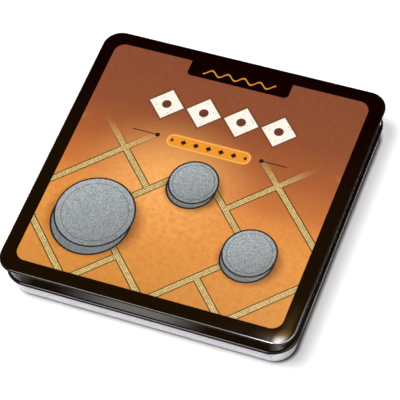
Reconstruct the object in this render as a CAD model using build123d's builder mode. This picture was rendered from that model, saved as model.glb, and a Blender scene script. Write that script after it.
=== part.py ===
from build123d import *
import os
from math import atan2, cos, degrees, radians, sin

# A nine mens morris travel game in a hinged square tin: a drawn lid and a drawn base,
# joined at the back by a wire hinge, a printed board inside and eighteen magnetic men.
# Millimetres. Z is up, the front faces -Y, the hinge is at +Y, and the origin is on the
# ground under the middle of the tin.

# ---- Driving dimensions ----
SIDE = 160.0             # across the lid's rim, both ways
HEIGHT = 26.0            # closed, from the ground to the top of the lid
CORNER_RADIUS = 10.2     # plan radius of the rim
SKIRT_CORNER_RADIUS = 12.7  # plan radius of the skirt's outside, which the base's corners follow
SHEET = 0.3              # tinplate

# Lid
BORDER = 8.0             # crowned margin round the flat top panel
CROWN_DROP = 0.4         # how far that margin falls from the panel to the rim
RIM_RADIUS = 0.8         # outside of the turned-over rim
RIM_OVERHANG = 1.5       # rim beyond the skirt
CURL_PROUD = 1.0         # bottom curl beyond the skirt
NECK_ANGLE = 25.0        # lean of the neck above the curl, from upright
CURL_WRAP = 285.0        # how far each curl goes round

# Hinge
WIRE_RADIUS = 0.6
HINGE_LIFT = 0.05        # axis above mid-height, so that the open lid lies clear of the ground
RUNNING_CLEARANCE = 0.06  # knuckle bore round the wire
KNUCKLE_WIDTH = 12.0
KNUCKLE_SPACING = 90.0   # between the middles of the two knuckles
KNUCKLE_SIDE_GAP = 0.5   # between a knuckle and the lid's curl, each end
KNUCKLE_HEADROOM = 0.5   # between a knuckle and the lid's notch above it
TAB_ROOT_DROP = 2.4      # foot of each tab below the axis
WIRE_PAST_KNUCKLE = 9.0  # wire held in the lid's curl outside each knuckle

# Base
LID_GAP = 0.6            # between the lid's curl and the base wall, which its front edge swings past
BOTTOM_RADIUS = 3.0      # outside of the base's bottom edge
SEAT_GAP = 0.3           # base's rolled edge below the flat of the lid, which seats on its margin
SAFE_EDGE_RADIUS = 0.8   # outside of the edge rolled inwards at the top of the wall
FOOT_WIDTH = 2.0         # flat ring that the tin stands on
FLOOR_RISE = 0.5         # floor panel above that ring
FLOOR_STEP = 0.6         # run of the slope between them

# Board
CARD = 0.8               # thickness of the printed card
CARD_MARGIN = 0.8        # between the card and the slope round the floor panel
BOARD_MARGIN = 10.7      # between the outermost line of the board and the card's edge

# Men
MAN_RADIUS = 6.5
MAN_HEIGHT = 5.5
MAN_EDGE = 0.7           # rounding of the upper edge
DISH_RADIUS = 4.4        # hollow in the top
DISH_DEPTH = 0.5
DISH_SLOPE = 0.5
MAGNET_RADIUS = 4.0
MAGNET_THICKNESS = 2.0
MAGNET_RECESS = 0.1      # magnet above the man's underside
GLUE_GAP = 0.05          # round the magnet

# ---- Worked-out sizes ----
half = SIDE / 2
mid = SHEET / 2
curl_radius = WIRE_RADIUS + mid                         # middle of the lid's curl
knuckle_radius = WIRE_RADIUS + RUNNING_CLEARANCE + mid  # middle of a knuckle
axis_z = HEIGHT / 2 + HINGE_LIFT
axis_reach = half - RIM_OVERHANG + CURL_PROUD - curl_radius - mid
skirt_reach = half - RIM_OVERHANG - mid
wall_reach = axis_reach - curl_radius - SHEET - LID_GAP
lid_underside = HEIGHT - SHEET
wall_top = lid_underside - SEAT_GAP
floor_top = FLOOR_RISE + SHEET
panel_reach = half - BORDER
skirt_corner = SKIRT_CORNER_RADIUS - mid
wall_corner = skirt_corner - skirt_reach + wall_reach
foot_reach = wall_reach + mid - BOTTOM_RADIUS
floor_reach = foot_reach - FOOT_WIDTH - FLOOR_STEP
floor_corner = wall_corner - wall_reach + floor_reach
card_reach = floor_reach - CARD_MARGIN
point_pitch = (card_reach - BOARD_MARGIN) / 3           # between neighbouring points of the board
man_z = floor_top + CARD


# ---- Thin sections, drawn along the middle of the sheet ----
def leaning_tangent(radius, angle):
    """Where a line leaning outwards by angle touches the curl's inner side."""
    lean = radians(angle)
    return axis_reach - radius * cos(lean), axis_z + radius * sin(lean)


def quarter_run(reach, radius):
    """A quarter of a square with rounded corners, from the middle of the right side to the back."""
    right = Line((reach, 0), (reach, reach - radius))
    corner = JernArc(right @ 1, right % 1, radius, 90)
    Line(corner @ 1, (0, reach))


# ---- Lid ----
rim_z = HEIGHT - CROWN_DROP - RIM_RADIUS
rim_middle = RIM_RADIUS - mid
rim_reach = half - RIM_RADIUS
lip_z = rim_z - rim_middle
crown_run = rim_reach - panel_reach
crown_turn = 2 * degrees(atan2(CROWN_DROP, crown_run))
crown_radius = rim_middle + crown_run / sin(radians(crown_turn))
lip_fillet = 0.3
lip_reach = skirt_reach + lip_fillet
neck_x, neck_z = leaning_tangent(curl_radius, NECK_ANGLE)
neck_length = (skirt_reach - neck_x) / sin(radians(NECK_ANGLE))
neck_top = neck_z + neck_length * cos(radians(NECK_ANGLE))
knuckle_outside = knuckle_radius + mid
notch_top = axis_z + knuckle_outside + KNUCKLE_HEADROOM
notch_width = KNUCKLE_WIDTH + 2 * KNUCKLE_SIDE_GAP

with BuildPart() as lid_shell:
    # Crowned margin and turned-over rim
    with BuildLine() as rim_run:
        quarter_run(half, CORNER_RADIUS)
    with BuildSketch(Plane.XZ):
        with BuildLine():
            flat = Line((panel_reach - SHEET, HEIGHT - mid), (panel_reach, HEIGHT - mid))
            crown = JernArc(flat @ 1, (1, 0), crown_radius, -crown_turn)
            JernArc(crown @ 1, crown % 1, rim_middle, crown_turn - 180)
        trace(line_width=SHEET)
    sweep(path=rim_run.line)
    # Skirt, neck and curl, with rounder corners than the rim
    with BuildLine() as skirt_run:
        quarter_run(skirt_reach, skirt_corner)
    with BuildSketch(Plane.XZ):
        with BuildLine():
            inner_bend = JernArc((lip_reach, lip_z), (-1, 0), lip_fillet, 90)
            skirt = Line(inner_bend @ 1, (skirt_reach, neck_top))
            neck = Line(skirt @ 1, (neck_x, neck_z))
            JernArc(neck @ 1, neck % 1, curl_radius, CURL_WRAP)
        trace(line_width=SHEET)
    sweep(path=skirt_run.line)
    mirror(about=Plane.YZ)
    mirror(about=Plane.XZ)
    # Flat lip that runs back under the rim to the skirt
    with BuildSketch(Plane.XY.offset(lip_z - mid)):
        RectangleRounded(2 * rim_reach, 2 * rim_reach, CORNER_RADIUS - RIM_RADIUS)
        RectangleRounded(2 * lip_reach, 2 * lip_reach, skirt_corner + lip_fillet, mode=Mode.SUBTRACT)
    extrude(amount=SHEET)
    # Top panel
    with BuildSketch(Plane.XY.offset(lid_underside)):
        RectangleRounded(2 * panel_reach, 2 * panel_reach, CORNER_RADIUS - BORDER)
    extrude(amount=SHEET)
    # Notches in the back, where the base's knuckles reach the wire
    with Locations((-KNUCKLE_SPACING / 2, axis_reach), (KNUCKLE_SPACING / 2, axis_reach)):
        Box(notch_width, 2 * (axis_reach - wall_reach), notch_top,
            align=(Align.CENTER, Align.CENTER, Align.MIN), mode=Mode.SUBTRACT)
lid_shell.part.label = "lid_shell"

# ---- Base ----
bottom_middle = BOTTOM_RADIUS - mid
edge_middle = SAFE_EDGE_RADIUS - mid
tab_root = axis_z - TAB_ROOT_DROP
tab_x, tab_z = leaning_tangent(knuckle_radius, NECK_ANGLE)
tab_lean = (tab_x - wall_reach) / sin(radians(NECK_ANGLE))
tab_bend = tab_z - tab_lean * cos(radians(NECK_ANGLE))
tab_length = tab_bend - tab_root + tab_lean + radians(CURL_WRAP) * knuckle_radius
tab_slit = 0.2

with BuildPart() as base_shell:
    with BuildLine() as base_run:
        quarter_run(wall_reach, wall_corner)
    with BuildSketch(Plane.XZ):
        with BuildLine():
            floor_z = FLOOR_RISE + mid
            floor = Line((floor_reach - SHEET, floor_z), (floor_reach, floor_z))
            step = Line(floor @ 1, (floor_reach + FLOOR_STEP, mid))
            foot = Line(step @ 1, (foot_reach, mid))
            bottom = JernArc(foot @ 1, (1, 0), bottom_middle, 90)
            wall = Line(bottom @ 1, (wall_reach, wall_top - edge_middle - mid))
            JernArc(wall @ 1, (0, 1), edge_middle, CURL_WRAP)
        trace(line_width=SHEET)
    sweep(path=base_run.line)
    mirror(about=Plane.YZ)
    mirror(about=Plane.XZ)
    with BuildSketch(Plane.XY.offset(FLOOR_RISE)):
        RectangleRounded(2 * floor_reach, 2 * floor_reach, floor_corner)
    extrude(amount=SHEET)
    # Windows that the hinge tabs are cut from
    with Locations((-KNUCKLE_SPACING / 2, wall_reach, tab_root),
                   (KNUCKLE_SPACING / 2, wall_reach, tab_root)):
        Box(KNUCKLE_WIDTH + 2 * tab_slit, 2 * SHEET, tab_length,
            align=(Align.CENTER, Align.CENTER, Align.MIN), mode=Mode.SUBTRACT)
    # The tabs, curled round the wire
    with BuildSketch(Plane.YZ.offset(-KNUCKLE_SPACING / 2), Plane.YZ.offset(KNUCKLE_SPACING / 2)):
        with BuildLine():
            root = Line((wall_reach, tab_root - SHEET), (wall_reach, tab_bend))
            leaning = Line(root @ 1, (tab_x, tab_z))
            JernArc(leaning @ 1, leaning % 1, knuckle_radius, -CURL_WRAP)
        trace(line_width=SHEET)
    extrude(amount=KNUCKLE_WIDTH / 2, both=True)
base_shell.part.label = "base_shell"

# ---- Hinge wire ----
wire_length = KNUCKLE_SPACING + KNUCKLE_WIDTH + 2 * WIRE_PAST_KNUCKLE
with BuildPart() as hinge_wire:
    with BuildSketch(Plane.YZ):
        with Locations((axis_reach, axis_z)):
            Circle(WIRE_RADIUS)
    extrude(amount=wire_length / 2, both=True)
hinge_wire.part.label = "hinge_wire"

# ---- Printed card ----
with BuildPart() as board_card:
    with BuildSketch(Plane.XY.offset(floor_top)):
        RectangleRounded(2 * card_reach, 2 * card_reach, floor_corner - CARD_MARGIN)
    extrude(amount=CARD)
board_card.part.label = "board_card"


# ---- Men ----
def man_body():
    """A turned disc with a rounded upper edge, a dished top and a pocket for its magnet."""
    top = man_z + MAN_HEIGHT
    pocket = MAGNET_RADIUS + GLUE_GAP
    roof = man_z + MAGNET_RECESS + MAGNET_THICKNESS
    with BuildPart() as body:
        with BuildSketch(Plane.XZ):
            with BuildLine():
                Polyline((0, roof), (pocket, roof), (pocket, man_z), (MAN_RADIUS, man_z),
                         (MAN_RADIUS, top - MAN_EDGE))
                RadiusArc((MAN_RADIUS, top - MAN_EDGE), (MAN_RADIUS - MAN_EDGE, top), -MAN_EDGE)
                Polyline((MAN_RADIUS - MAN_EDGE, top), (DISH_RADIUS + DISH_SLOPE, top),
                         (DISH_RADIUS, top - DISH_DEPTH), (0, top - DISH_DEPTH), (0, roof))
            make_face()
        revolve(axis=Axis.Z)
    return body.part


def magnet():
    """A flat ferrite disc."""
    with BuildPart() as disc:
        with BuildSketch(Plane.XY.offset(man_z + MAGNET_RECESS)):
            Circle(MAGNET_RADIUS)
        extrude(amount=MAGNET_THICKNESS)
    return disc.part


def board_point(ring, eighth):
    """A point of the board: ring 1 is the inner square, and eighths count round from the front."""
    across, along = EIGHTHS[eighth]
    return ring * point_pitch * across, ring * point_pitch * along


EIGHTHS = [(0, -1), (1, -1), (1, 0), (1, 1), (0, 1), (-1, 1), (-1, 0), (-1, -1)]
FREE_POINTS = [(1, 1), (1, 6), (2, 3), (2, 4), (3, 0), (3, 5)]
one_man = man_body()
one_magnet = magnet()
counts = {"light": 0, "dark": 0}
men = []
for ring in (1, 2, 3):
    for eighth in range(8):
        if (ring, eighth) in FREE_POINTS:
            continue
        colour = "light" if (ring + eighth) % 2 else "dark"
        counts[colour] += 1
        name = f"{colour}_man_{counts[colour]}"
        place = Location((*board_point(ring, eighth), 0))
        for solid, node in ((one_man, name), (one_magnet, name + "_magnet")):
            piece = solid.moved(place)
            piece.label = node
            men.append(piece)

# ---- Write one file for each piece ----
os.makedirs("parts", exist_ok=True)
export_step(lid_shell.part, "parts/lid_shell.step")
export_step(base_shell.part, "parts/base_shell.step")
export_step(hinge_wire.part, "parts/hinge_wire.step")
export_step(board_card.part, "parts/board_card.step")
for piece in men:
    export_step(piece, f"parts/{piece.label}.step")
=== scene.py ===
"""Travel tin for nine mens morris: hinged lid and base of pressed tinplate, game card and magnetic men."""
from math import atan2, ceil, cos, hypot, pi, radians, sin

import bpy
import bmesh
from mathutils import Matrix, Vector


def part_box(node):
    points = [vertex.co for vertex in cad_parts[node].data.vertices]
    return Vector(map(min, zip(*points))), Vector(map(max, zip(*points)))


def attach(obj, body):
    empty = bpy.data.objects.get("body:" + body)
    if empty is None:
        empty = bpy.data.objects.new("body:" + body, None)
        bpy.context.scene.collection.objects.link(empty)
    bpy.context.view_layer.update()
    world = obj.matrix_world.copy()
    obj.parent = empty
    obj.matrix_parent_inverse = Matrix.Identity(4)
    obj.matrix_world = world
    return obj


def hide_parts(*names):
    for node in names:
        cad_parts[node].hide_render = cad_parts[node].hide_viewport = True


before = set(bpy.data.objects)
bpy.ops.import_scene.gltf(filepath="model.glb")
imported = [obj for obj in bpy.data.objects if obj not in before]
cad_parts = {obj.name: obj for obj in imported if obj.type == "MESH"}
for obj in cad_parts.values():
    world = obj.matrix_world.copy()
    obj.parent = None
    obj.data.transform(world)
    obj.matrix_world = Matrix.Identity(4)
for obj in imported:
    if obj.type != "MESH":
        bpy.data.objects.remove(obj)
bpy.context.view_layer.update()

# ---------------------------------------------------------------- sizes of the tin, in metres

MM = 0.001

lid_low, lid_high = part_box("lid_shell")
wire_low, wire_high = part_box("hinge_wire")

HALF = lid_high.x                      # from the middle of the tin to the rim of the lid
TOP = lid_high.z                       # the lid's top face
AXIS_REACH = (wire_low.y + wire_high.y) / 2
AXIS_HEIGHT = (wire_low.z + wire_high.z) / 2

SHEET = 0.3 * MM
RIM_OVERHANG = 1.5 * MM
CORNER_RADIUS = 10.2 * MM              # of the rim, in plan
SKIRT_CORNER_RADIUS = 12.7 * MM        # of the skirt, which the base's corners follow
ROUNDER = SKIRT_CORNER_RADIUS + RIM_OVERHANG - CORNER_RADIUS  # beyond corners concentric with the rim
BORDER = 8 * MM                        # the sloping black margin round the flat panel
CROWN_DROP = 0.4 * MM
RIM_RADIUS = 0.8 * MM
LIP_RADIUS = 0.3 * MM
CURL_RADIUS = 0.75 * MM
CURL_WRAP = radians(285)
NECK_ANGLE = radians(25)

WALL_REACH = 76.95 * MM                # middle of the base's wall
WALL_TOP = 25.4 * MM
SAFE_EDGE_RADIUS = 0.65 * MM
BOTTOM_RADIUS = 2.85 * MM
FLOOR_REACH = 71.5 * MM
FLOOR_RISE = 0.5 * MM
FLOOR_STEP = 0.6 * MM
STEP_RADIUS = 0.25 * MM

KNUCKLE_AT = 45 * MM                   # each knuckle's middle, left and right of the tin's middle
KNUCKLE_WIDTH = 12 * MM
KNUCKLE_RADIUS = 0.81 * MM
TAB_ROOT = 10.65 * MM
TAB_LENGTH = 6.974 * MM
NOTCH_WIDTH = 13 * MM
NOTCH_TOP = 14.51 * MM
WINDOW_WIDTH = 12.4 * MM
WINDOW_DEPTH = 2 * SHEET

CORNER_STEPS = 24                      # in each corner of the plan
CROWN_STEPS = 14                       # across the sloping margin
ARC_STEP = radians(9)                  # along a bend
CURL_STEP = radians(15)                # along a rolled edge
TURNED_STEPS = 72                      # round a turned piece
EDGE_HOLD = 0.12 * MM                  # from the end of a straight run to its first station inside
SHARP_ANGLE = radians(40)
CORNER_SLACK = 0.5 * MM                # how far before its bend starts a point still counts as in a corner
PAINTED_FROM = 0.6                     # mark from which a face takes the outside finish
WELD_TREE = 0.02 * MM                  # points closer than this are one
WELD_PIECE = 0.002 * MM


# ---------------------------------------------------------------- helpers

def link(piece):
    """Puts an object in the scene."""
    bpy.context.scene.collection.objects.link(piece)
    return piece


def piece_from(name, shape):
    """Makes an object in the scene from a bmesh, which is used up."""
    mesh = bpy.data.meshes.new(name)
    shape.to_mesh(mesh)
    shape.free()
    return link(bpy.data.objects.new(name, mesh))


class Nodes:
    """Short ways to add nodes for sums and vectors to a node tree, for geometry or for a material."""

    def __init__(self, tree):
        self.tree = tree

    def feed(self, socket, value):
        """Links a socket to another, or sets it to a plain value. None leaves it alone."""
        if isinstance(value, bpy.types.NodeSocket):
            self.tree.links.new(value, socket)
        elif value is not None:
            socket.default_value = value

    def node(self, kind, *values, **settings):
        """Adds a node with its settings, and feeds its first inputs in their order."""
        node = self.tree.nodes.new(kind)
        for field, value in settings.items():
            setattr(node, field, value)
        for socket, value in zip(node.inputs, values):
            self.feed(socket, value)
        return node

    def math(self, operation, *values):
        return self.node("ShaderNodeMath", *values, operation=operation).outputs[0]

    def plus(self, first, second):
        return self.math("ADD", first, second)

    def minus(self, first, second):
        return self.math("SUBTRACT", first, second)

    def times(self, first, second):
        return self.math("MULTIPLY", first, second)

    def larger(self, first, second):
        return self.math("MAXIMUM", first, second)

    def absolute(self, value):
        return self.math("ABSOLUTE", value)

    def vector(self, operation, first, second=None, scale=None):
        node = self.node("ShaderNodeVectorMath", first, second, operation=operation)
        if scale is not None:
            self.feed(node.inputs["Scale"], scale)
        return node.outputs["Value" if operation in ("LENGTH", "DOT_PRODUCT") else "Vector"]

    def combine(self, x, y, z=0.0):
        return self.node("ShaderNodeCombineXYZ", x, y, z).outputs[0]

    def split(self, vector):
        return self.node("ShaderNodeSeparateXYZ", vector).outputs


# ---------------------------------------------------------------- bent sheet

class SheetPen:
    """Draws the middle line of a bent sheet in runs and bends, as reach (outwards) and height."""

    def __init__(self, reach, height, heading=0.0):
        self.reach = reach
        self.height = height
        self.heading = heading
        self.stations = [(reach, height, heading)]

    def _mark(self):
        self.stations.append((self.reach, self.height, self.heading))

    def run(self, length):
        """Goes straight on, with a station just inside each end so that the run shades flat."""
        hold = min(EDGE_HOLD, length / 3)
        for part in (hold, length - 2 * hold, hold):
            self.reach += part * cos(self.heading)
            self.height += part * sin(self.heading)
            self._mark()

    def bend(self, radius, turn, step=ARC_STEP):
        """Goes round an arc, to the left where the turn is above nought."""
        side = 1 if turn > 0 else -1
        centre_reach = self.reach - side * radius * sin(self.heading)
        centre_height = self.height + side * radius * cos(self.heading)
        start = self.heading
        count = max(2, ceil(abs(turn) / step))
        for index in range(1, count + 1):
            self.heading = start + turn * index / count
            self.reach = centre_reach + side * radius * sin(self.heading)
            self.height = centre_height - side * radius * cos(self.heading)
            self._mark()

    def faces(self):
        """Both faces of the sheet: the one on the left of the line, and the one on its right."""
        half = SHEET / 2
        left = [(r - half * sin(h), z + half * cos(h)) for r, z, h in self.stations]
        right = [(r + half * sin(h), z - half * cos(h)) for r, z, h in self.stations]
        return left, right


def lid_section():
    """Crown, rolled rim, skirt, neck and hollow curl, from the edge of the flat panel outwards."""
    mid = SHEET / 2
    panel_reach = HALF - BORDER
    rim_middle = RIM_RADIUS - mid
    crown_run = BORDER - RIM_RADIUS
    crown_turn = 2 * atan2(CROWN_DROP, crown_run)
    crown_radius = rim_middle + crown_run / sin(crown_turn)
    skirt_reach = HALF - RIM_OVERHANG - mid
    pen = SheetPen(panel_reach - SHEET, TOP - mid)
    pen.run(SHEET)
    pen.bend(crown_radius, -crown_turn, step=crown_turn / CROWN_STEPS)
    pen.bend(rim_middle, crown_turn - pi)
    rim_end = len(pen.stations) + 1
    pen.run(pen.reach - skirt_reach - LIP_RADIUS)
    pen.bend(LIP_RADIUS, pi / 2)
    neck_reach = AXIS_REACH - CURL_RADIUS * cos(NECK_ANGLE)
    neck_height = AXIS_HEIGHT + CURL_RADIUS * sin(NECK_ANGLE)
    neck_run = (pen.reach - neck_reach) / sin(NECK_ANGLE)
    pen.run(pen.height - neck_height - neck_run * cos(NECK_ANGLE))
    pen.heading -= NECK_ANGLE
    skirt_end = len(pen.stations) - 1
    pen.run(neck_run)
    pen.bend(CURL_RADIUS, CURL_WRAP, step=CURL_STEP)
    outer, inner = pen.faces()
    stations = range(len(outer))
    painted_inside = [1.0 if index >= skirt_end else 0.0 for index in stations]
    rounder = [0.0 if index < rim_end else ROUNDER for index in stations]
    return outer + inner[::-1], [1.0] * len(outer) + painted_inside[::-1], rounder + rounder[::-1]


def base_section():
    """Raised floor, foot, bottom corner, wall and safe edge, from the edge of the floor outwards."""
    mid = SHEET / 2
    slope = atan2(FLOOR_RISE, FLOOR_STEP)
    tangent = STEP_RADIUS * sin(slope) / (1 + cos(slope))
    pen = SheetPen(FLOOR_REACH - SHEET, FLOOR_RISE + mid)
    pen.run(SHEET - tangent)
    pen.bend(STEP_RADIUS, -slope)
    pen.run(hypot(FLOOR_RISE, FLOOR_STEP) - 2 * tangent)
    pen.bend(STEP_RADIUS, slope)
    pen.run(WALL_REACH - BOTTOM_RADIUS - pen.reach)
    pen.bend(BOTTOM_RADIUS, pi / 2)
    pen.run(WALL_TOP - mid - SAFE_EDGE_RADIUS - pen.height)
    pen.bend(SAFE_EDGE_RADIUS, CURL_WRAP, step=CURL_STEP)
    inner, outer = pen.faces()
    return inner + outer[::-1], [0.0] * (2 * len(inner)), [ROUNDER] * (2 * len(inner))


def section_piece(name, points, painted, rounder):
    """Edges of a section. Its points keep where it is painted and how much rounder its corners are."""
    mesh = bpy.data.meshes.new(name)
    edges = [(index, index + 1) for index in range(len(points) - 1)]
    mesh.from_pydata([(reach - HALF, -height, 0) for reach, height in points], edges, [])
    mesh.attributes.new("painted", "FLOAT", "POINT").data.foreach_set("value", painted)
    mesh.attributes.new("rounder", "FLOAT", "POINT").data.foreach_set("value", rounder)
    return link(bpy.data.objects.new(name, mesh))


class GeometryTree(Nodes):
    """A Geometry Nodes tree with named inputs."""

    def __init__(self, name):
        super().__init__(bpy.data.node_groups.new(name, "GeometryNodeTree"))
        self.tree.interface.new_socket("Geometry", in_out="OUTPUT", socket_type="NodeSocketGeometry")
        self.source = self.tree.nodes.new("NodeGroupInput")
        self.identifiers = {}

    def input(self, name, kind):
        socket = self.tree.interface.new_socket(name, in_out="INPUT", socket_type="NodeSocket" + kind)
        self.identifiers[name] = socket.identifier
        return self.source.outputs[name]

    def add(self, kind, settings=None, **inputs):
        """Adds a geometry node, feeds its inputs by name and gives its first output."""
        node = self.node("GeometryNode" + kind, **(settings or {}))
        for field, value in inputs.items():
            self.feed(node.inputs[field.replace("_", " ")], value)
        return node.outputs[0]

    def finish(self, geometry):
        self.node("NodeGroupOutput", geometry)

    def run(self, name, **values):
        """Makes a plain mesh object from the tree, with its inputs set by their identifiers."""
        carrier = link(bpy.data.objects.new(name + "_carrier", bpy.data.meshes.new(name + "_carrier")))
        modifier = carrier.modifiers.new("tree", "NODES")
        modifier.node_group = self.tree
        for field, value in values.items():
            modifier[self.identifiers[field.replace("_", " ")]] = value
        mesh = evaluated_mesh(carrier)
        bpy.data.objects.remove(carrier)
        mesh.name = name
        return link(bpy.data.objects.new(name, mesh))


def evaluated_mesh(piece):
    """A new mesh of a piece as its modifiers leave it."""
    graph = bpy.context.evaluated_depsgraph_get()
    return bpy.data.meshes.new_from_object(piece.evaluated_get(graph), depsgraph=graph)


def pressed_sheet_tree():
    """Carries a section round a square with rounded corners and closes it with a flat plate.

    Where a point of the section is marked as rounder, its path takes a larger radius in the corners.
    """
    made = GeometryTree("Pressed sheet")
    section = made.input("Section", "Object")
    half_width = made.input("Half width", "Float")
    corner_radius = made.input("Corner radius", "Float")
    corner_steps = made.input("Corner steps", "Int")
    plate_corner = made.input("Plate corner radius", "Float")
    plate_reach = made.input("Plate reach", "Float")
    plate_top = made.input("Plate top", "Float")
    plate_under = made.input("Plate underside", "Float")
    inside = made.input("Inside finish", "Material")
    outside = made.input("Outside finish", "Material")

    def attribute(name):
        return made.add("InputNamedAttribute", {"data_type": "FLOAT"}, Name=name)

    def rounder_corners(geometry):
        """Moves the corners of a swept section inwards by what its points are marked with."""
        place = made.add("InputPosition")
        extra = attribute("rounder")
        centre = made.minus(half_width, corner_radius)
        spoke = made.vector("SUBTRACT", made.vector("ABSOLUTE", place), made.combine(centre, centre))
        flat = made.vector("MAXIMUM", made.vector("MULTIPLY", spoke, (1, 1, 0)), (0, 0, 0))
        for past_centre in made.split(spoke)[:2]:
            extra = made.times(extra, made.math("GREATER_THAN", past_centre, -CORNER_SLACK))
        inwards = made.vector("SUBTRACT", made.vector("NORMALIZE", flat), (1, 1, 0))
        signed = made.vector("MULTIPLY", inwards, made.vector("SIGN", place))
        return made.add("SetPosition", Geometry=geometry, Offset=made.vector("SCALE", signed, scale=extra))

    def rounded_square(half, radius):
        width = made.times(half, 2.0)
        square = made.add("CurvePrimitiveQuadrilateral", Width=width, Height=width)
        return made.add("FilletCurve", {"mode": "POLY"}, Curve=square, Count=corner_steps, Radius=radius)

    def plate(height, painted):
        outline = rounded_square(plate_reach, plate_corner)
        filled = made.add("FillCurve", {"mode": "NGONS"}, Curve=outline)
        lifted = made.add("Transform", Geometry=filled, Translation=made.combine(0.0, 0.0, height))
        return made.add("StoreNamedAttribute", {"data_type": "FLOAT", "domain": "POINT"},
                        Geometry=lifted, Name="painted", Value=painted)

    profile = made.node("GeometryNodeObjectInfo", section).outputs["Geometry"]
    line = made.add("MeshToCurve", Mesh=profile)
    path = rounded_square(half_width, corner_radius)
    swept = made.add("CurveToMesh", Curve=path, Profile_Curve=line)
    join = made.node("GeometryNodeJoinGeometry")
    for part in (rounder_corners(swept), plate(plate_top, 1.0), plate(plate_under, 0.0)):
        made.feed(join.inputs[0], part)
    welded = made.add("MergeByDistance", Geometry=join.outputs[0], Distance=WELD_TREE)
    smooth = made.add("SetShadeSmooth", Geometry=welded)
    real = made.add("RealizeInstances", Geometry=smooth)
    bare = made.add("SetMaterial", Geometry=real, Material=inside)
    side = made.node("FunctionNodeCompare", operation="GREATER_THAN")
    made.feed(side.inputs["A"], attribute("painted"))
    made.feed(side.inputs["B"], PAINTED_FROM)
    made.finish(made.add("SetMaterial", Geometry=bare, Selection=side.outputs[0], Material=outside))
    return made


def box_piece(name, boxes):
    """Plain boxes in one mesh, each given by its lowest and highest corners."""
    shape = bmesh.new()
    for low, high in boxes:
        low, high = Vector(low), Vector(high)
        place = Matrix.Translation((low + high) / 2) @ Matrix.Diagonal((*(high - low), 1))
        bmesh.ops.create_cube(shape, size=1, matrix=place)
    return piece_from(name, shape)


def cut(piece, boxes, finish):
    """Cuts boxes out of a piece, for good. The new faces take the finish."""
    tool = box_piece(piece.name + "_tool", boxes)
    tool.data.materials.append(finish)
    modifier = piece.modifiers.new("openings", "BOOLEAN")
    modifier.operation = "DIFFERENCE"
    modifier.solver = "EXACT"
    modifier.material_mode = "TRANSFER"
    modifier.object = tool
    mesh = evaluated_mesh(piece)
    piece.modifiers.clear()
    piece.data = mesh
    bpy.data.objects.remove(tool)


def close_up(piece):
    """Welds a piece, points its faces outwards and shades it smooth between its sharp edges."""
    shape = bmesh.new()
    shape.from_mesh(piece.data)
    bmesh.ops.remove_doubles(shape, verts=shape.verts, dist=WELD_PIECE)
    bmesh.ops.recalc_face_normals(shape, faces=shape.faces)
    shape.to_mesh(piece.data)
    shape.free()
    piece.data.shade_smooth()
    piece.data.set_sharp_from_angle(angle=SHARP_ANGLE)


def tab_section():
    """Both faces of a hinge tab: up the wall, out through the notch and round the wire."""
    reach = AXIS_REACH - KNUCKLE_RADIUS * cos(NECK_ANGLE)
    height = AXIS_HEIGHT + KNUCKLE_RADIUS * sin(NECK_ANGLE)
    slant = (reach - WALL_REACH) / sin(NECK_ANGLE)
    pen = SheetPen(WALL_REACH, TAB_ROOT - SHEET, pi / 2)
    pen.run(height - slant * cos(NECK_ANGLE) - pen.height)
    pen.heading -= NECK_ANGLE
    pen.run(slant)
    pen.bend(KNUCKLE_RADIUS, -CURL_WRAP, step=CURL_STEP)
    left, right = pen.faces()
    return left + right[::-1]


def strip_piece(name, middles, width, outline):
    """Copies of one bent strip, each as wide as said and centred at its own place along X."""
    shape = bmesh.new()
    for middle in middles:
        ends = []
        for x in (middle - width / 2, middle + width / 2):
            ends.append([shape.verts.new((x, reach, height)) for reach, height in outline])
        first, second = ends
        count = len(outline)
        half = count // 2
        for index in range(count):
            follower = (index + 1) % count
            shape.faces.new((first[index], first[follower], second[follower], second[index]))
        for end in ends:
            for index in range(half - 1):
                shape.faces.new((end[index], end[index + 1], end[count - 2 - index], end[count - 1 - index]))
    return piece_from(name, shape)


def turned_piece(name, outline, centre):
    """A solid turned about an upright axis from (radius, height) points that start and end on it."""
    shape = bmesh.new()
    rings = []
    for radius, height in outline:
        ring = []
        for index in range(TURNED_STEPS if radius > 0 else 1):
            angle = 2 * pi * index / TURNED_STEPS
            x, y = centre.x + radius * cos(angle), centre.y + radius * sin(angle)
            ring.append(shape.verts.new((x, y, height)))
        rings.append(ring)
    for lower, upper in zip(rings, rings[1:]):
        for index in range(TURNED_STEPS):
            follower = (index + 1) % TURNED_STEPS
            corners = [lower[index % len(lower)], lower[follower % len(lower)],
                       upper[follower % len(upper)], upper[index % len(upper)]]
            shape.faces.new(list(dict.fromkeys(corners)))
    piece = piece_from(name, shape)
    close_up(piece)
    return piece


# ---------------------------------------------------------------- finishes

def paint(red, green, blue):
    """Linear colour of a printed tint given in everyday 0 to 255 values."""
    def linear(value):
        value /= 255
        return value / 12.92 if value <= 0.04045 else ((value + 0.055) / 1.055) ** 2.4
    return (linear(red), linear(green), linear(blue), 1.0)


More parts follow.
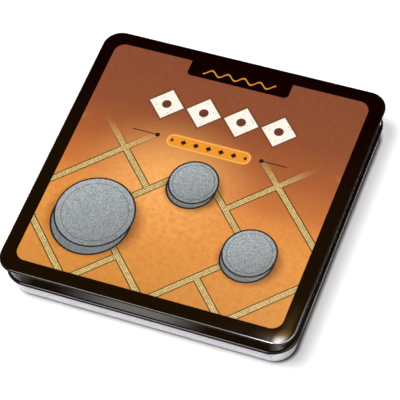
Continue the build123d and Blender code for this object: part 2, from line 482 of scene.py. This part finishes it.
class Finish(Nodes):
    """One material and short ways to add nodes to it. Positions are read in millimetres."""

    def __init__(self, name, **constants):
        self.material = bpy.data.materials.new(name)
        self.material.use_nodes = True
        super().__init__(self.material.node_tree)
        self.shader = self.tree.nodes["Principled BSDF"]
        for field, value in constants.items():
            self.shader.inputs[field.replace("_", " ")].default_value = value
        place = self.node("ShaderNodeTexCoord").outputs["Object"]
        self.position = self.vector("SCALE", place, scale=1 / MM)
        self.x, self.y, self.z = self.split(self.position)

    def noise(self, scale, detail=2.0, roughness=0.5, stretch=None):
        """Soft noise with about the given number of blotches in a millimetre."""
        where = self.position if stretch is None else self.vector("MULTIPLY", self.position, stretch)
        node = self.node("ShaderNodeTexNoise")
        fields = {"Vector": where, "Scale": scale, "Detail": detail, "Roughness": roughness}
        for field, value in fields.items():
            self.feed(node.inputs[field], value)
        return node.outputs["Fac"]

    def spread(self, value, low, high, to_low=0.0, to_high=1.0, smooth=False):
        """Maps the range from low to high to another one, and holds its ends beyond it."""
        kind = "SMOOTHSTEP" if smooth else "LINEAR"
        node = self.node("ShaderNodeMapRange", value, low, high, to_low, to_high, interpolation_type=kind)
        return node.outputs[0]

    def inside(self, distance, soft=0.08):
        """1 where a distance in millimetres is below nought, 0 outside, with a soft edge."""
        return self.spread(distance, soft, -soft)

    def line(self, distance, half_width, soft=0.08):
        """1 on a line along the place where a distance is nought."""
        return self.inside(self.minus(self.absolute(distance), half_width), soft)

    def mix(self, amount, first, second, blend="MIX"):
        node = self.node("ShaderNodeMix", amount, data_type="RGBA", blend_type=blend)
        self.feed(node.inputs[6], first)
        self.feed(node.inputs[7], second)
        return node.outputs[2]

    def ramp(self, value, stops):
        node = self.node("ShaderNodeValToRGB", value)
        elements = node.color_ramp.elements
        while len(elements) < len(stops):
            elements.new(0.5)
        for element, (place, colour) in zip(elements, stops):
            element.position = place
            element.color = colour
        return node.outputs[0]

    def rounded(self, centre, half, radius):
        """Distance outside a rectangle with rounded corners, in plan."""
        flat = self.combine(self.minus(self.x, centre[0]), self.minus(self.y, centre[1]))
        straight = (half[0] - radius, half[1] - radius, 0)
        past = self.vector("SUBTRACT", self.vector("ABSOLUTE", flat), straight)
        return self.minus(self.vector("LENGTH", self.vector("MAXIMUM", past, (0, 0, 0))), radius)

    def bump(self, height, strength, distance):
        node = self.node("ShaderNodeBump")
        for field, value in {"Height": height, "Strength": strength, "Distance": distance}.items():
            self.feed(node.inputs[field], value)
        self.wire("Normal", node.outputs[0])

    def wire(self, field, value):
        self.tree.links.new(value, self.shader.inputs[field])


INK = paint(38, 26, 14)
CREAM = paint(243, 236, 222)
BORDER_NEAR = paint(24, 12, 2)
BORDER_FAR = paint(15, 0, 0)
BARE_TIN = paint(214, 211, 218)

# the printed lid, in mm from the middle of the panel
PANEL = 72.0                           # half its width
PANEL_CORNER = 6.0
SOFT = 0.15                            # half the soft edge of a drawn shape
FAR_OFF = 100.0                        # distance given where no line is drawn
GROUND_STOPS = (                       # from the near edge of the panel to the far one
    (0.0, paint(200, 133, 54)), (0.28, paint(222, 147, 64)), (0.4, paint(212, 132, 60)),
    (0.46, paint(190, 108, 50)), (0.6, paint(162, 86, 43)), (0.76, paint(135, 71, 42)),
    (1.0, paint(126, 67, 44)))
GLOW_CENTRE = (-14.0, -6.0)
GLOW_RADIUS = 46.0
GLOW_SQUEEZE = 0.8                     # of its distances along X, which makes it wider
DIAGRAM_CENTRE = (0.0, -34.0)
DIAGRAM_PITCH = 30.0
DIAGRAM_SQUARES = 5                    # more than the panel shows
DIAGRAM_LINE = 1.7                     # half the width of a drawn line
DIAGRAM_FADE = (26.0, 4.0)             # from where it can't be seen to where it is at its strongest
COUNTERS = ((42.4, -34.0, 14.0), (0.0, -2.0, 13.0), (-42.4, -34.0, 21.0))  # centre and radius
COUNTER_DEPTH = 0.24                   # the drawn thickness, as a part of the radius
COUNTER_RING = 0.16                    # the thin line inside the edge, as a part of the radius
TITLE_ROW = 41.0                       # height of the row of cream lozenges
LOZENGE_PITCH = 21.0
LOZENGE_GAP = 0.9
LOZENGE_SHADE = 0.9                    # how far the dark edge reaches past a lozenge
LOZENGE_EYE = 2.6
BAND_ROW = 20.0                        # height of the orange band
BAND_HALF = (23.5, 4.2)
BAND_CORNER = 4.0
SMALL_PITCH = 7.0                      # of the small lozenges on the band
SMALL_REACH = 1.7
PIN_ROW = 21.0
PIN_HEAD_AT = 29.0
PIN_HEAD = 1.3
PIN_STEM_AT = 36.0                     # the stem's middle
PIN_STEM_HALF = 7.0
TAB_ROW = 67.0                         # height of the waved line
TAB_CENTRE = (0.0, PANEL + 0.5)
TAB_HALF = (28.6, 10.0)
TAB_CORNER = 2.5
WAVE_LENGTH = 9.0
WAVE_HEIGHT = 1.5
WAVE_REACH = 20.2
RIM_LINE_AT = -0.5                     # middle of the rolled rim, from its outermost edge
RIM_LINE_FOOT = (23.3, 23.5)           # heights below which the rim has no painted highlight
PAINTED_HIGHLIGHT_SPAN = (122.0, 156.0)               # X minus Y, from the start of the painted highlight to its full strength
CURL_SATIN = (12.0, 11.0)              # heights between which the varnish turns from gloss to satin

BOARD_PITCH = 20.0                     # between neighbouring lines of the game card, in mm
BOARD_SQUARES = 3
BOARD_LINE = 1.0                       # half the width of its lines, in mm


def nearest_line(f, across, along, pitch, squares):
    """Distance to the lines of a morris diagram: nested squares and the spokes between them."""
    far = f.larger(across, along)
    off_rings = f.larger(f.math("LESS_THAN", far, pitch / 2),
                         f.math("GREATER_THAN", far, pitch * (squares + 0.5)))
    off_spokes = f.larger(f.math("LESS_THAN", far, pitch), f.math("GREATER_THAN", far, pitch * squares))
    ring = f.math("MULTIPLY_ADD", off_rings, FAR_OFF, f.math("PINGPONG", far, pitch / 2))
    spoke = f.math("MULTIPLY_ADD", off_spokes, FAR_OFF, f.math("MINIMUM", across, along))
    return f.math("MINIMUM", ring, spoke)


def printed_ground(f, fine, worn):
    """Darker and redder above, golden below, with a glow left of the middle, stains, flecks and grit."""
    ground = f.ramp(f.spread(f.y, -PANEL, PANEL), GROUND_STOPS)
    away = f.combine(f.times(f.minus(f.x, GLOW_CENTRE[0]), GLOW_SQUEEZE), f.minus(f.y, GLOW_CENTRE[1]))
    glow = f.spread(f.vector("LENGTH", away), GLOW_RADIUS, 0.0, 0.0, 0.85, smooth=True)
    ground = f.mix(glow, ground, paint(247, 178, 98))
    blotch = f.noise(0.35, detail=6, roughness=0.62)
    stains = f.times(f.spread(blotch, 0.42, 0.72), f.spread(f.y, 20.0, -20.0, 0.12, 0.5))
    flecks = f.times(f.spread(worn, 0.52, 0.68), f.spread(f.y, 5.0, -30.0, 0.0, 0.4))
    grit = f.times(f.spread(fine, 0.5, 0.8, 0.0, 0.4), f.spread(f.y, 20.0, -20.0, 0.3, 1.0))
    for marks, tint in ((stains, paint(196, 96, 44)), (flecks, paint(208, 102, 40)),
                        (grit, paint(238, 180, 96))):
        ground = f.mix(marks, ground, tint)
    return ground


def drawn_diagram(f, art, worn, wobble):
    """Straw-coloured morris diagram with inked edges, turned corner up and faded out above."""
    turn = 0.5 ** 0.5
    east = f.minus(f.x, DIAGRAM_CENTRE[0])
    north = f.minus(f.y, DIAGRAM_CENTRE[1])
    across = f.absolute(f.times(f.plus(east, north), turn))
    along = f.absolute(f.times(f.minus(north, east), turn))
    trace = f.plus(nearest_line(f, across, along, DIAGRAM_PITCH, DIAGRAM_SQUARES), wobble)
    fade = f.spread(f.y, *DIAGRAM_FADE, smooth=True)
    straw = f.mix(f.spread(worn, 0.35, 0.65), paint(240, 208, 138), paint(172, 146, 84))
    edge = f.minus(trace, DIAGRAM_LINE)
    art = f.mix(f.times(f.inside(edge, SOFT), fade), art, straw)
    ink = f.larger(f.line(edge, 0.36, 0.14), f.line(f.minus(trace, 0.5), 0.12, 0.14))
    return f.mix(f.times(ink, f.times(fade, 0.9)), art, paint(72, 54, 26))


def drawn_counter(f, art, slate, hand, x, y, radius):
    """A plain slate counter, drawn with its thickness below it and a soft shadow round it."""
    flat = f.combine(f.minus(f.x, x), f.minus(f.y, y))
    below = f.vector("ADD", flat, (-1.5, 4.0, 0))
    shade = f.vector("LENGTH", f.vector("MULTIPLY", below, (1.0, 1.15, 0)))
    shadow = f.spread(shade, radius * 1.4, radius * 0.9, 0.0, 0.75, smooth=True)
    art = f.mix(shadow, art, paint(96, 50, 22))
    flank_flat = f.vector("ADD", flat, (0.0, radius * COUNTER_DEPTH, 0))
    face, flank = (f.minus(f.plus(f.vector("LENGTH", place), hand), radius) for place in (flat, flank_flat))
    art = f.mix(f.inside(flank, SOFT), art, f.mix(0.55, slate, paint(60, 62, 68)))
    art = f.mix(f.line(flank, 0.5, SOFT), art, INK)
    light = f.spread(f.vector("DOT_PRODUCT", flat, (-0.5, 0.86, 0)), -radius, radius, 0.62, 1.1)
    stone = f.mix(1.0, slate, f.combine(light, light, light), "MULTIPLY")
    art = f.mix(f.inside(face, SOFT), art, stone)
    ring = f.line(f.plus(face, radius * COUNTER_RING), 0.1, 0.12)
    return f.mix(f.larger(f.line(face, 0.45, SOFT), ring), art, INK)


def lozenge_row(f, art, worn):
    """Worn cream lozenges, each with a round eye, over a soft dark edge."""
    along = f.minus(LOZENGE_PITCH / 2, f.math("PINGPONG", f.x, LOZENGE_PITCH / 2))
    rise = f.absolute(f.minus(f.y, TITLE_ROW))
    lozenge = f.minus(f.plus(along, rise), LOZENGE_PITCH / 2 - LOZENGE_GAP)
    in_row = f.math("LESS_THAN", f.absolute(f.x), 2 * LOZENGE_PITCH)
    past_eye = f.minus(LOZENGE_EYE, f.vector("LENGTH", f.combine(along, rise)))
    cream = f.times(f.times(f.inside(lozenge, SOFT), in_row), f.inside(past_eye, SOFT))
    cream = f.times(cream, f.spread(worn, 0.36, 0.42, 0.25, 1.0))
    art = f.mix(f.times(in_row, f.inside(f.minus(lozenge, LOZENGE_SHADE), 1.2)), art, paint(98, 54, 32))
    return f.mix(cream, art, CREAM)


def band_and_pins(f, art):
    """Orange band with small lozenges, and a pin on each side of it."""
    band = f.rounded((0.0, BAND_ROW), BAND_HALF, BAND_CORNER)
    art = f.mix(f.inside(band, 0.12), art, paint(228, 142, 36))
    art = f.mix(f.line(f.plus(band, 0.8), 0.12), art, paint(246, 214, 150))
    small = f.plus(f.math("PINGPONG", f.x, SMALL_PITCH / 2), f.absolute(f.minus(f.y, BAND_ROW)))
    small = f.times(f.inside(f.minus(small, SMALL_REACH), 0.1), f.inside(f.plus(band, 2.4)))
    art = f.mix(small, art, INK)
    side = f.absolute(f.x)
    level = f.minus(f.y, PIN_ROW)
    stem = f.times(f.line(level, 0.28), f.line(f.minus(side, PIN_STEM_AT), PIN_STEM_HALF))
    head = f.vector("LENGTH", f.combine(f.minus(side, PIN_HEAD_AT), level))
    return f.mix(f.larger(stem, f.inside(f.minus(head, PIN_HEAD))), art, INK)


def lacquered_print():
    """Outside of the lid: a warm printed panel inside a near-black border, all under clear varnish."""
    f = Finish("Lacquered print")
    fine = f.noise(2.2, detail=3, roughness=0.6)
    worn = f.noise(1.1, detail=5, roughness=0.7)
    wobble = f.spread(fine, 0.0, 1.0, -0.35, 0.35)
    art = drawn_diagram(f, printed_ground(f, fine, worn), worn, wobble)
    speckle = f.spread(f.noise(1.6, detail=8, roughness=0.75), 0.36, 0.66)
    slate = f.mix(speckle, paint(104, 110, 112), paint(196, 202, 204))
    hand = f.times(wobble, 0.9)
    for counter in COUNTERS:
        art = drawn_counter(f, art, slate, hand, *counter)
    art = band_and_pins(f, lozenge_row(f, art, worn))

    # border, and the tab of border colour that hangs into the panel, with a waved line on it
    tab = f.inside(f.rounded(TAB_CENTRE, TAB_HALF, TAB_CORNER))
    panel = f.inside(f.rounded((0.0, 0.0), (PANEL, PANEL), PANEL_CORNER))
    border = f.mix(f.spread(f.y, 0.0, 60.0), BORDER_NEAR, BORDER_FAR)
    art = f.mix(panel, border, f.mix(tab, art, border))
    swing = f.times(f.math("SINE", f.times(f.x, 2 * pi / WAVE_LENGTH)), WAVE_HEIGHT)
    wave = f.line(f.minus(f.minus(f.y, TAB_ROW), swing), 0.4, 0.3)
    art = f.mix(f.times(wave, f.line(f.x, WAVE_REACH)), art, paint(226, 148, 52))

    # painted highlight: a thin line of bright bare metal along the rim of the near right corner stands in
    # for light on the rolled edge
    rim = f.rounded((0.0, 0.0), (HALF / MM, HALF / MM), CORNER_RADIUS / MM)
    bare = f.times(f.line(f.minus(rim, RIM_LINE_AT), 0.12, 0.14), f.spread(f.z, *RIM_LINE_FOOT))
    bare = f.times(bare, f.spread(f.minus(f.x, f.y), *PAINTED_HIGHLIGHT_SPAN, smooth=True))
    # the painted highlight line takes the bare tin colour and full metal
    f.wire("Base Color", f.mix(bare, art, BARE_TIN))
    f.wire("Metallic", bare)

    # glossy border, satin panel, and a duller curl
    gloss = f.spread(f.noise(0.08, detail=3), 0.3, 0.7, 0.06, 0.1)
    satin = f.plus(f.times(f.minus(panel, tab), 0.16), f.spread(f.z, *CURL_SATIN, 0.0, 0.45))
    f.wire("Roughness", f.plus(gloss, satin))
    f.bump(f.plus(f.noise(0.5), f.times(fine, 0.15)), 0.06, 0.02 * MM)
    return f.material


def tinplate(name, tint, roughness, metallic=1.0):
    """Bare tin-coated steel: bright, with faint rolling lines and cloudy crystal patches."""
    f = Finish(name, Metallic=metallic, Base_Color=tint, Roughness=roughness)
    rolled = f.noise(1.0, detail=3, roughness=0.6, stretch=(0.05, 4.0, 4.0))
    cloud = f.noise(0.06, detail=4, roughness=0.55)
    f.wire("Base Color", f.mix(f.spread(cloud, 0.35, 0.7, 0.0, 0.22), tint, paint(176, 172, 178)))
    streaks = f.spread(rolled, 0.3, 0.7, -0.04, 0.05)
    f.wire("Roughness", f.plus(streaks, f.spread(cloud, 0.3, 0.7, roughness - 0.03, roughness + 0.05)))
    f.bump(f.plus(rolled, f.times(cloud, 2.0)), 0.1, 0.01 * MM)
    return f.material


def steel_wire():
    """Bright wire with fine lines along its length."""
    f = Finish("Drawn steel wire", Metallic=1.0, Roughness=0.3)
    drawn = f.noise(3.0, detail=3, stretch=(0.03, 3.0, 3.0))
    f.wire("Base Color", f.mix(drawn, paint(150, 148, 150), paint(205, 203, 205)))
    f.wire("Roughness", f.spread(drawn, 0.3, 0.7, 0.22, 0.4))
    return f.material


def game_card():
    """Printed card with the morris board: three squares and the lines between them."""
    f = Finish("Printed card", Roughness=0.45)
    fine = f.noise(2.0, detail=4, roughness=0.65)
    broad = f.noise(0.06, detail=4)
    ground = f.mix(f.spread(broad, 0.3, 0.7), paint(226, 170, 100), paint(206, 138, 74))
    ground = f.mix(f.spread(fine, 0.45, 0.8, 0.0, 0.35), ground, paint(244, 206, 146))
    trace = nearest_line(f, f.absolute(f.x), f.absolute(f.y), BOARD_PITCH, BOARD_SQUARES)
    f.wire("Base Color", f.mix(f.inside(f.minus(trace, BOARD_LINE)), ground, paint(70, 44, 24)))
    f.bump(fine, 0.2, 0.03 * MM)
    return f.material


def moulded_plastic(name, tint, deeper):
    """Slightly mottled plastic with a fine grain."""
    f = Finish(name, Roughness=0.38)
    mottle = f.noise(0.25, detail=4)
    f.wire("Base Color", f.mix(f.spread(mottle, 0.3, 0.7), tint, deeper))
    f.wire("Roughness", f.spread(f.noise(1.2, detail=3), 0.3, 0.7, 0.3, 0.46))
    f.bump(f.noise(4.0, detail=3), 0.15, 0.02 * MM)
    return f.material


def ferrite():
    """Grey-black, gritty magnet."""
    f = Finish("Ferrite", Roughness=0.6)
    grit = f.noise(6.0, detail=6, roughness=0.7)
    f.wire("Base Color", f.mix(grit, paint(38, 38, 41), paint(72, 71, 74)))
    f.bump(grit, 0.4, 0.04 * MM)
    return f.material


# ---------------------------------------------------------------- the tin

def at_knuckles(width, low, high):
    """A box at each knuckle, with its width and its lowest and highest corners as (Y, Z)."""
    return [((x - width / 2, *low), (x + width / 2, *high)) for x in (-KNUCKLE_AT, KNUCKLE_AT)]


def build_lid(pressed):
    """Presses the lid and cuts a notch in its curl for each knuckle."""
    print_finish = lacquered_print()
    satin = tinplate("Satin tinplate", paint(206, 204, 209), 0.42, metallic=0.5)
    section = section_piece("lid_section", *lid_section())
    lid = pressed.run("lid", Section=section, Half_width=HALF, Corner_radius=CORNER_RADIUS,
                      Corner_steps=CORNER_STEPS, Plate_corner_radius=CORNER_RADIUS - BORDER - SHEET,
                      Plate_reach=HALF - BORDER - SHEET, Plate_top=TOP, Plate_underside=TOP - SHEET,
                      Inside_finish=satin, Outside_finish=print_finish)
    bpy.data.objects.remove(section)
    depth = AXIS_REACH - WALL_REACH
    cut(lid, at_knuckles(NOTCH_WIDTH, (AXIS_REACH - depth, 0), (AXIS_REACH + depth, NOTCH_TOP)), satin)
    close_up(lid)
    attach(lid, "lid")
    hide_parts("lid_shell")


def build_base(pressed):
    """Presses the base and cuts a window in its wall above each hinge tab, which is made apart."""
    tin = tinplate("Bright tinplate", BARE_TIN, 0.28)
    section = section_piece("base_section", *base_section())
    base = pressed.run("base", Section=section, Half_width=HALF, Corner_radius=CORNER_RADIUS,
                       Corner_steps=CORNER_STEPS,
                       Plate_corner_radius=CORNER_RADIUS + ROUNDER - HALF + FLOOR_REACH - SHEET,
                       Plate_reach=FLOOR_REACH - SHEET, Plate_top=FLOOR_RISE + SHEET,
                       Plate_underside=FLOOR_RISE, Inside_finish=tin, Outside_finish=tin)
    bpy.data.objects.remove(section)
    cut(base, at_knuckles(WINDOW_WIDTH, (WALL_REACH - WINDOW_DEPTH / 2, TAB_ROOT),
                          (WALL_REACH + WINDOW_DEPTH / 2, TAB_ROOT + TAB_LENGTH)), tin)
    close_up(base)
    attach(base, "base")

    tabs = strip_piece("hinge_tabs", (-KNUCKLE_AT, KNUCKLE_AT), KNUCKLE_WIDTH, tab_section())
    tabs.data.materials.append(tin)
    close_up(tabs)
    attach(tabs, "base")
    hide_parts("base_shell")
    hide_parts("base_shell")


# ---------------------------------------------------------------- men, card, wire and magnets

MAN_EDGE = 0.7 * MM
MAN_FOOT_EDGE = 0.15 * MM
MAN_EDGE_STEPS = 6
DISH_RADIUS = 4.4 * MM
DISH_DEPTH = 0.5 * MM
DISH_SLOPE = 0.5 * MM
MAGNET_CLEARANCE = 0.05 * MM


def man_outline(low, high, magnet_low, magnet_high):
    """Half section of a man, from the roof of its magnet pocket round to the middle of its dish."""
    radius = (high.x - low.x) / 2
    pocket = (magnet_high.x - magnet_low.x) / 2 + MAGNET_CLEARANCE
    roof = magnet_high.z + MAGNET_CLEARANCE
    points = [(0.0, roof), (pocket, roof), (pocket, low.z)]
    for centre, edge, start in ((low.z + MAN_FOOT_EDGE, MAN_FOOT_EDGE, -pi / 2),
                                (high.z - MAN_EDGE, MAN_EDGE, 0.0)):
        for index in range(MAN_EDGE_STEPS + 1):
            angle = start + pi / 2 * index / MAN_EDGE_STEPS
            points.append((radius - edge + edge * cos(angle), centre + edge * sin(angle)))
    floor = high.z - DISH_DEPTH
    points += [(DISH_RADIUS + DISH_SLOPE, high.z), (DISH_RADIUS, floor), (0.0, floor)]
    return points


def build_men():
    """Makes each man again, round, with a rounded edge, a dish and a pocket for its magnet."""
    finishes = {"light": moulded_plastic("Ivory plastic", paint(232, 222, 196), paint(222, 209, 178)),
                "dark": moulded_plastic("Dark plastic", paint(44, 32, 27), paint(34, 25, 22))}
    for node in sorted(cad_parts):
        if node.endswith("_magnet") or "_man_" not in node:
            continue
        low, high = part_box(node)
        outline = man_outline(low, high, *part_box(node + "_magnet"))
        colour = node.split("_")[0]
        man = turned_piece(node + "_turned", outline, (low + high) / 2)
        man.data.materials.append(finishes[colour])
        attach(man, node)
        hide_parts(node)


def dress(node, finish):
    """Gives a node of the frame its finish."""
    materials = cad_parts[node].data.materials
    materials.clear()
    materials.append(finish)


pressed_sheet = pressed_sheet_tree()
build_lid(pressed_sheet)
build_base(pressed_sheet)
build_men()
dress("board_card", game_card())
dress("hinge_wire", steel_wire())
magnet_finish = ferrite()
for node_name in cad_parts:
    if node_name.endswith("_magnet"):
        dress(node_name, magnet_finish)


# ---------------------------------------------------------------- studio

WHITE = (1, 1, 1, 1)
WARM_WHITE = (1, 0.97, 0.92, 1)
AMBER = (1, 0.56, 0.18, 1)
ROSE = (1, 0.86, 0.8, 1)

WORLD_STRENGTH = 0.46
TABLE_REACH = 2.0                      # of the table's edge, in metres
FOOTPRINT_CENTRE = (1.2, 0.7)          # of the contact shadow, in mm
FOOTPRINT_HALF = 77
FOOTPRINT_CORNER = 11.5


def quad(name, corners, finish):
    """A flat four-cornered sheet of the studio."""
    mesh = bpy.data.meshes.new(name)
    mesh.from_pydata(corners, [], [(0, 1, 2, 3)])
    mesh.materials.append(finish)
    sheet = link(bpy.data.objects.new(name, mesh))
    return sheet


def seen_in_gloss_only(thing):
    """Keeps a card or a highlight light to what the varnish and the metal mirror."""
    thing.visible_camera = False
    thing.visible_diffuse = False
    thing.visible_transmission = False
    thing.visible_volume_scatter = False
    if thing.type == "MESH":
        thing.visible_shadow = False


def softbox(name, direction, distance, size, power, colour=(1, 1, 1)):
    """A round area light that faces the middle of the tin."""
    light = bpy.data.lights.new(name, "AREA")
    light.shape = "DISK"
    light.size = size
    light.energy = power
    light.color = colour
    lamp = link(bpy.data.objects.new(name, light))
    towards = Vector(direction).normalized()
    lamp.location = towards * distance
    lamp.rotation_euler = towards.to_track_quat("Z", "Y").to_euler()
    return lamp


def gloss_card(name, x_stops, y_stops, height, strength=1.0, glow=0.0, colour=WHITE, front=None):
    """A card with soft edges that only the tin's varnish and metal mirror, black or lit by itself.

    Each row of stops gives the outer edge, the start and the end of the full strength, and the other
    outer edge, in mm. The card lies level at its height, or stands up at the distance `front`.
    """
    f = Finish(name, Roughness=1.0, Specular_IOR_Level=0.0, Base_Color=(0.01, 0.01, 0.01, 1),
               Emission_Strength=glow, Emission_Color=colour)
    amount = strength
    for place, stops in ((f.x, x_stops), (f.y, y_stops)):
        amount = f.times(amount, f.spread(place, stops[0], stops[1], smooth=True))
        amount = f.times(amount, f.spread(place, stops[2], stops[3], 1.0, 0.0, smooth=True))
    f.wire("Alpha", amount)
    x0, x1, y0, y1 = [value * MM for value in (x_stops[0], x_stops[3], y_stops[0], y_stops[3])]
    card = quad(name, [(x0, y0, 0), (x1, y0, 0), (x1, y1, 0), (x0, y1, 0)], f.material)
    card.location = (0, 0, height * MM)
    if front is not None:
        card.location = (0, -front * MM, height * MM)
        card.rotation_euler = (radians(90), 0, 0)
    seen_in_gloss_only(card)


def white_table():
    """White ground with painted light that glows most just outside the tin's foot, and a painted contact
    shadow, a dark line right under it.
    """
    f = Finish("White table", Roughness=0.8, Specular_IOR_Level=0.0, Emission_Color=WHITE)
    around = f.rounded(FOOTPRINT_CENTRE, (FOOTPRINT_HALF, FOOTPRINT_HALF), FOOTPRINT_CORNER)
    # painted light: the table glows most just outside the tin's foot, less further out, and not at all under
    # it
    f.wire("Emission Strength", f.minus(f.spread(around, 0.0, 1.2, 0.0, 0.3),
                                        f.spread(around, 3.0, 10.0, 0.0, 0.1)))
    cloudy = f.mix(f.noise(0.02), (0.93, 0.93, 0.93, 1), (0.95, 0.95, 0.95, 1))
    # painted shadow: the table's colour darkens right under the tin's foot
    painted_contact_shadow = f.spread(around, -1.4, 0.4, smooth=True)
    f.wire("Base Color", f.mix(painted_contact_shadow, (0.1, 0.09, 0.08, 1), cloudy))
    corners = [(x * TABLE_REACH, y * TABLE_REACH, 0) for x, y in ((-1, -1), (1, -1), (1, 1), (-1, 1))]
    quad("floor", corners, f.material)


def studio():
    """White table and surroundings, two lights, and the cards that the varnish and the metal mirror."""
    scene = bpy.context.scene
    scene.view_settings.view_transform = "Standard"
    world = bpy.data.worlds.new("Studio")
    world.use_nodes = True
    background = world.node_tree.nodes["Background"]
    background.inputs["Color"].default_value = WHITE
    background.inputs["Strength"].default_value = WORLD_STRENGTH
    scene.world = world
    white_table()
    key = softbox("key", (-0.17, -0.12, 0.975), distance=2.4, size=1.0, power=44.0)
    key.visible_glossy = False
    rim_light = softbox("rim_light", (-0.27, -0.2, 0.94), distance=1.2, size=0.5, power=8.0,
                        colour=(1.0, 0.94, 0.86))
    seen_in_gloss_only(rim_light)

    # high above: black in the flat panel and its border, and light in the near right corner and the rim
    gloss_card("top_flag", (-1500, -1300, 100, 200), (190, 240, 1700, 1900), 1322)
    gloss_card("corner_glow", (-28, 6, 18, 58), (-44, 4, 44, 100), 420,
               glow=24.0, colour=WARM_WHITE)
    gloss_card("corner_haze", (-42, 4, 24, 76), (32, 67, 88, 165), 425, glow=4.5, colour=AMBER)
    gloss_card("rim_glow", (-100, 0, 700, 800), (-400, -300, 400, 600), 1330,
               glow=3.0, colour=WARM_WHITE)
    gloss_card("right_flag", (140, 260, 2600, 2800), (700, 860, 2400, 2600), 1300, strength=0.85)

    # low in front and on the left: the dark and light lengths of the front skirt and base
    gloss_card("front_base_shade", (-93, -87, 70, 76), (-86, -84.4, -81.5, -79.5), 0.2, strength=0.35)
    gloss_card("front_right_shade", (0, 32, 64, 84), (-500, -400, -85.6, -84.6), 0.3)
    gloss_card("front_left_shade", (-87, -65, -56, -14), (-500, -400, -85.6, -84.6), 0.4)
    gloss_card("left_corner_shade", (-150, -140, -98, -78), (-500, -400, -20, 0), 0.5, strength=0.85)
    gloss_card("front_screen", (-900, -700, 500, 700), (0, 10, 500, 600), 0.0, strength=0.8, front=400)

    # low on the right: a dark skirt over a lit curl and a lit strip of the base
    gloss_card("right_floor_shade", (84, 100, 600, 800), (20, 60, 600, 800), 0.8, strength=0.6)
    gloss_card("right_base_shade", (77.0, 77.4, 79.0, 79.4), (-64, -44, 90, 96), 0.6,
               strength=0.7, glow=1.4, colour=ROSE)
    gloss_card("right_curl_glow", (79.3, 79.6, 80.9, 81.3), (-66, -48, 90, 96), 0.9,
               glow=5.0, colour=ROSE)
    gloss_card("right_skirt_shade", (81, 81.7, 98, 106), (-92, -74, 130, 150), 0.7)


def camera():
    """Looks down on the near right corner of the tin, with a slight tilt of the frame."""
    azimuth, elevation, roll = radians(28.64), radians(55.69), radians(-9.59)
    target = Vector((6.65, -10.41, 24.8)) * MM
    distance = 1102 * MM
    focal_pixels, image_width = 2147, 400
    back = Vector((sin(azimuth) * cos(elevation), -cos(azimuth) * cos(elevation), sin(elevation)))
    level = (-back).cross(Vector((0, 0, 1))).normalized()
    upright = level.cross(-back)
    right = level * cos(roll) + upright * sin(roll)
    up = upright * cos(roll) - level * sin(roll)
    turned = Matrix((right, up, back)).transposed().to_4x4()
    lens = bpy.data.cameras.new("camera")
    lens.sensor_width = 36
    lens.lens = focal_pixels / image_width * lens.sensor_width
    lens.clip_start = 0.01
    eye = link(bpy.data.objects.new("camera", lens))
    eye.matrix_world = Matrix.Translation(target + back * distance) @ turned
    bpy.context.scene.camera = eye


studio()
camera()
